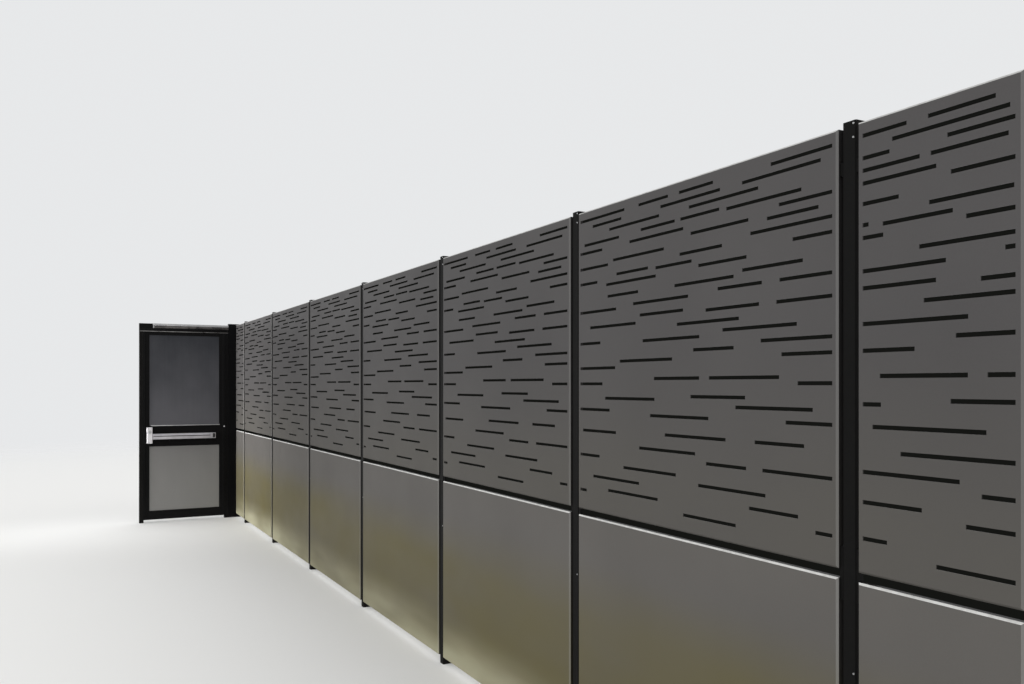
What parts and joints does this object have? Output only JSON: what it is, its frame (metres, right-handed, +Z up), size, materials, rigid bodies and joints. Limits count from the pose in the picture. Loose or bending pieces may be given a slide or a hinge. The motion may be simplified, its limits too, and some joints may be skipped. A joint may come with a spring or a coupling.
{
  "type": "laser cut metal fence",
  "caption": "Street fence of folded sheet-metal trays, the upper ones cut with rows of slits, on black posts, with a hinged exit gate at one end.",
  "frame": {"origin": "middle of the middle post's lower end", "axes": "+X along the fence away from the gate, -Y the street side with the panel faces, +Z up"},
  "size_m": [10.348, 1.244, 2.453],
  "materials": {
    "slit_panels": "satin",
    "plain_panels": "satin",
    "black_posts": "satin",
    "gate_infill": "satin",
    "bar_metal": "brushed"
  },
  "bodies": {
    "fence": {"post_1": "black_posts", "post_2": "black_posts", "post_3": "black_posts", "post_4": "black_posts", "post_5": "black_posts", "post_6": "black_posts", "post_7": "black_posts", "post_8": "black_posts", "post_9": "black_posts", "lower_panel_1": "plain_panels", "lower_panel_2": "plain_panels", "lower_panel_3": "plain_panels", "lower_panel_4": "plain_panels", "lower_panel_5": "plain_panels", "lower_panel_6": "plain_panels", "lower_panel_7": "plain_panels", "lower_panel_8": "plain_panels", "upper_panel_1": "slit_panels", "upper_panel_2": "slit_panels", "upper_panel_3": "slit_panels", "upper_panel_4": "slit_panels", "upper_panel_5": "slit_panels", "upper_panel_6": "slit_panels", "upper_panel_7": "slit_panels", "upper_panel_8": "slit_panels", "corner_post": "black_posts", "hinge_jamb": "black_posts", "latch_jamb": "black_posts", "gate_header": "black_posts", "hinge_pin_1": "black_posts", "hinge_pin_2": "black_posts"},
    "gate_leaf": {"leaf_frame": "black_posts", "lower_infill": "gate_infill", "upper_infill": "gate_infill", "bar_rail": "bar_metal", "bar_end_cap": "bar_metal", "latch_case": "bar_metal", "hinge_knuckle_1": "black_posts", "hinge_knuckle_2": "black_posts"},
    "push_pad": {"push_pad": "bar_metal"}
  },
  "joints": [
    {"name": "gate_hinge", "type": "hinge", "parent": "fence", "child": "gate_leaf", "pos_m": [-5.175, -0.203, 0], "axis": [0, 0, -1], "range_deg": [0, 90]},
    {"name": "push_pad_slide", "type": "slide", "parent": "gate_leaf", "child": "push_pad", "axis": [-1, 0, 0], "range_m": [0, 0.012]}
  ]
}
